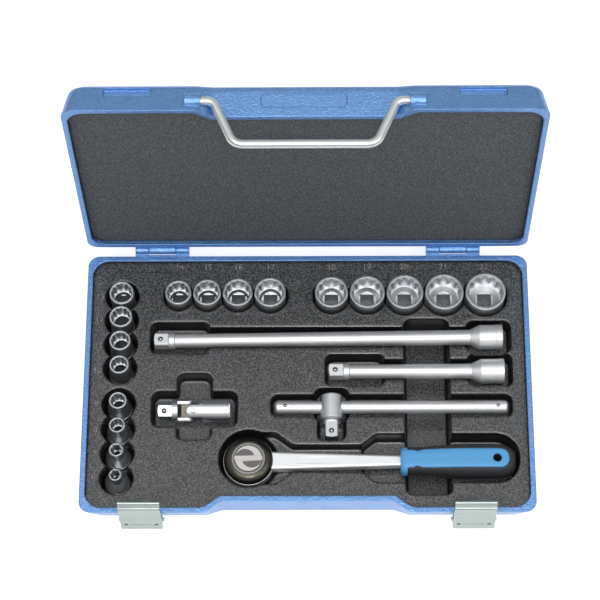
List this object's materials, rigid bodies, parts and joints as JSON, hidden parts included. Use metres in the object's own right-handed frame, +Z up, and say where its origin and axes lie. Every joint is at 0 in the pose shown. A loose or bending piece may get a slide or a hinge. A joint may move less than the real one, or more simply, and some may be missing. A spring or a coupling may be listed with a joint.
{
  "type": "socket wrench set in case",
  "caption": "Open hinged sheet-steel case with a formed tray of sockets, extensions, a universal joint, a sliding T-bar and a reversible ratchet.",
  "frame": {"origin": "middle of the flat floor of the case", "axes": "+X along the case to the right, +Y from the front to the hinges, +Z up"},
  "size_m": [0.318, 0.2382, 0.2323],
  "materials": {
    "case_paint": "blue hammer-finish paint on pressed sheet steel",
    "tray_plastic": "grained black formed sheet",
    "foam": "dark grey fine-cell foam",
    "plated_steel": "bright zinc plate",
    "satin_chrome": "satin chrome plate",
    "dark_steel": "blackened steel",
    "ball_steel": "polished steel",
    "disc_plastic": "dark disc with a plain raised bar",
    "grip_dark": "dark grey soft plastic",
    "grip_blue": "blue hard plastic"
  },
  "bodies": {
    "base": {"base_shell": "case_paint", "tray_left_front": "tray_plastic", "tray_left_back": "tray_plastic", "tray_back_left": "tray_plastic", "tray_back_right": "tray_plastic", "tray_long_extension": "tray_plastic", "tray_joint": "tray_plastic", "tray_middle": "tray_plastic", "tray_ratchet": "tray_plastic", "tray_grip": "tray_plastic", "hinge_base_leaves": "case_paint", "hinge_pins": "plated_steel", "latch_brackets": "plated_steel", "latch_pins": "plated_steel"},
    "lid": {"lid_shell": "case_paint", "lid_foam": "foam", "hinge_lid_leaves": "case_paint"},
    "handle": {"carry_handle": "plated_steel"},
    "left_latch": {"left_latch_clip": "plated_steel"},
    "right_latch": {"right_latch_clip": "plated_steel"},
    "socket_06": {"socket_06": "satin_chrome"},
    "socket_07": {"socket_07": "satin_chrome"},
    "socket_08": {"socket_08": "satin_chrome"},
    "socket_09": {"socket_09": "satin_chrome"},
    "socket_10": {"socket_10": "satin_chrome"},
    "socket_11": {"socket_11": "satin_chrome"},
    "socket_12": {"socket_12": "satin_chrome"},
    "socket_13": {"socket_13": "satin_chrome"},
    "socket_14": {"socket_14": "satin_chrome"},
    "socket_15": {"socket_15": "satin_chrome"},
    "socket_16": {"socket_16": "satin_chrome"},
    "socket_17": {"socket_17": "satin_chrome"},
    "socket_18": {"socket_18": "satin_chrome"},
    "socket_19": {"socket_19": "satin_chrome"},
    "socket_20": {"socket_20": "satin_chrome"},
    "socket_21": {"socket_21": "satin_chrome"},
    "socket_22": {"socket_22": "satin_chrome"},
    "long_extension": {"long_extension": "satin_chrome"},
    "long_extension_ball": {"long_extension_ball": "ball_steel"},
    "short_extension": {"short_extension": "satin_chrome"},
    "short_extension_ball": {"short_extension_ball": "ball_steel"},
    "joint_female": {"joint_female_yoke": "satin_chrome", "joint_female_pin": "satin_chrome"},
    "joint_middle": {"joint_block": "dark_steel"},
    "joint_male": {"joint_male_yoke": "satin_chrome", "joint_male_pin": "satin_chrome"},
    "joint_ball": {"joint_ball": "ball_steel"},
    "t_rod": {"t_bar_rod": "satin_chrome", "t_bar_stop_balls": "ball_steel"},
    "t_head": {"t_bar_head": "satin_chrome"},
    "t_ball": {"t_bar_ball": "ball_steel"},
    "ratchet": {"ratchet_body": "satin_chrome", "ratchet_cover_ring": "satin_chrome", "ratchet_grip": "grip_dark", "ratchet_grip_cover": "grip_blue"},
    "ratchet_drive": {"ratchet_drive_gear": "satin_chrome"},
    "ratchet_ball": {"ratchet_ball": "ball_steel"},
    "ratchet_pawl": {"ratchet_pawl": "dark_steel"},
    "ratchet_disc": {"ratchet_reverse_disc": "disc_plastic"}
  },
  "joints": [
    {"name": "lid_hinge", "type": "hinge", "parent": "base", "child": "lid", "pos_m": [0, 0.1018, 0.0322], "axis": [-1, 0, 0], "range_deg": [-93, 0]},
    {"name": "handle_swing", "type": "hinge", "parent": "lid", "child": "handle", "pos_m": [0, 0.12102, 0.22706], "axis": [-1, 0, 0], "range_deg": [0, 110]},
    {"name": "left_latch_turn", "type": "hinge", "parent": "base", "child": "left_latch", "pos_m": [-0.116, -0.0975, 0.0175], "axis": [-1, 0, 0], "range_deg": [-45, 2]},
    {"name": "right_latch_turn", "type": "hinge", "parent": "base", "child": "right_latch", "pos_m": [0.116, -0.0975, 0.0175], "axis": [-1, 0, 0], "range_deg": [-45, 2]},
    {"name": "socket_06_lift", "type": "slide", "parent": "base", "child": "socket_06", "axis": [0, 0, 1], "range_m": [0, 0.06]},
    {"name": "socket_07_lift", "type": "slide", "parent": "base", "child": "socket_07", "axis": [0, 0, 1], "range_m": [0, 0.06]},
    {"name": "socket_08_lift", "type": "slide", "parent": "base", "child": "socket_08", "axis": [0, 0, 1], "range_m": [0, 0.06]},
    {"name": "socket_09_lift", "type": "slide", "parent": "base", "child": "socket_09", "axis": [0, 0, 1], "range_m": [0, 0.06]},
    {"name": "socket_10_lift", "type": "slide", "parent": "base", "child": "socket_10", "axis": [0, 0, 1], "range_m": [0, 0.06]},
    {"name": "socket_11_lift", "type": "slide", "parent": "base", "child": "socket_11", "axis": [0, 0, 1], "range_m": [0, 0.06]},
    {"name": "socket_12_lift", "type": "slide", "parent": "base", "child": "socket_12", "axis": [0, 0, 1], "range_m": [0, 0.06]},
    {"name": "socket_13_lift", "type": "slide", "parent": "base", "child": "socket_13", "axis": [0, 0, 1], "range_m": [0, 0.06]},
    {"name": "socket_14_lift", "type": "slide", "parent": "base", "child": "socket_14", "axis": [0, 0, 1], "range_m": [0, 0.06]},
    {"name": "socket_15_lift", "type": "slide", "parent": "base", "child": "socket_15", "axis": [0, 0, 1], "range_m": [0, 0.06]},
    {"name": "socket_16_lift", "type": "slide", "parent": "base", "child": "socket_16", "axis": [0, 0, 1], "range_m": [0, 0.06]},
    {"name": "socket_17_lift", "type": "slide", "parent": "base", "child": "socket_17", "axis": [0, 0, 1], "range_m": [0, 0.06]},
    {"name": "socket_18_lift", "type": "slide", "parent": "base", "child": "socket_18", "axis": [0, 0, 1], "range_m": [0, 0.06]},
    {"name": "socket_19_lift", "type": "slide", "parent": "base", "child": "socket_19", "axis": [0, 0, 1], "range_m": [0, 0.06]},
    {"name": "socket_20_lift", "type": "slide", "parent": "base", "child": "socket_20", "axis": [0, 0, 1], "range_m": [0, 0.06]},
    {"name": "socket_21_lift", "type": "slide", "parent": "base", "child": "socket_21", "axis": [0, 0, 1], "range_m": [0, 0.06]},
    {"name": "socket_22_lift", "type": "slide", "parent": "base", "child": "socket_22", "axis": [0, 0, 1], "range_m": [0, 0.06]},
    {"name": "long_extension_lift", "type": "slide", "parent": "base", "child": "long_extension", "axis": [0, 0, 1], "range_m": [0, 0.06]},
    {"name": "short_extension_lift", "type": "slide", "parent": "base", "child": "short_extension", "axis": [0, 0, 1], "range_m": [0, 0.06]},
    {"name": "joint_female_lift", "type": "slide", "parent": "base", "child": "joint_female", "axis": [0, 0, 1], "range_m": [0, 0.06]},
    {"name": "t_rod_lift", "type": "slide", "parent": "base", "child": "t_rod", "axis": [0, 0, 1], "range_m": [0, 0.06]},
    {"name": "ratchet_lift", "type": "slide", "parent": "base", "child": "ratchet", "axis": [0, 0, 1], "range_m": [0, 0.06]},
    {"name": "long_ball_press", "type": "slide", "parent": "long_extension", "child": "long_extension_ball", "axis": [0, 0, 1], "range_m": [-0.0007, 0], "stiffness_N_per_m": 400},
    {"name": "short_ball_press", "type": "slide", "parent": "short_extension", "child": "short_extension_ball", "axis": [0, 0, 1], "range_m": [-0.0007, 0], "stiffness_N_per_m": 400},
    {"name": "joint_side_swing", "type": "hinge", "parent": "joint_female", "child": "joint_middle", "pos_m": [-0.0808, -0.0187, 0.023], "axis": [0, 0.3907, -0.9205], "range_deg": [0, 8]},
    {"name": "joint_up_swing", "type": "hinge", "parent": "joint_middle", "child": "joint_male", "pos_m": [-0.0857, -0.0187, 0.023], "axis": [0, 0.9205, 0.3907], "range_deg": [0, 40]},
    {"name": "joint_ball_press", "type": "slide", "parent": "joint_male", "child": "joint_ball", "axis": [0, -0.3907, 0.9205], "range_m": [-0.0007, 0], "stiffness_N_per_m": 400},
    {"name": "t_head_slide", "type": "slide", "parent": "t_rod", "child": "t_head", "axis": [1, 0, 0], "range_m": [-0.002, 0.002]},
    {"name": "t_ball_press", "type": "slide", "parent": "t_head", "child": "t_ball", "axis": [0, 0, 1], "range_m": [-0.0007, 0], "stiffness_N_per_m": 400},
    {"name": "ratchet_drive_turn", "type": "hinge", "parent": "ratchet", "child": "ratchet_drive", "pos_m": [-0.0414, -0.0573, 0.017], "axis": [0, 0, 1], "continuous": true},
    {"name": "ratchet_ball_press", "type": "slide", "parent": "ratchet_drive", "child": "ratchet_ball", "axis": [1, 0, 0], "range_m": [-0.0007, 0], "stiffness_N_per_m": 400},
    {"name": "reverse_turn", "type": "hinge", "parent": "ratchet", "child": "ratchet_disc", "pos_m": [-0.0414, -0.0573, 0.0286], "axis": [0, 0, 1], "range_deg": [0, 60]},
    {"name": "pawl_rock", "type": "hinge", "parent": "ratchet", "child": "ratchet_pawl", "pos_m": [-0.0286, -0.0573, 0.018], "axis": [0, 0, 1], "range_deg": [-8, 0]}
  ]
}
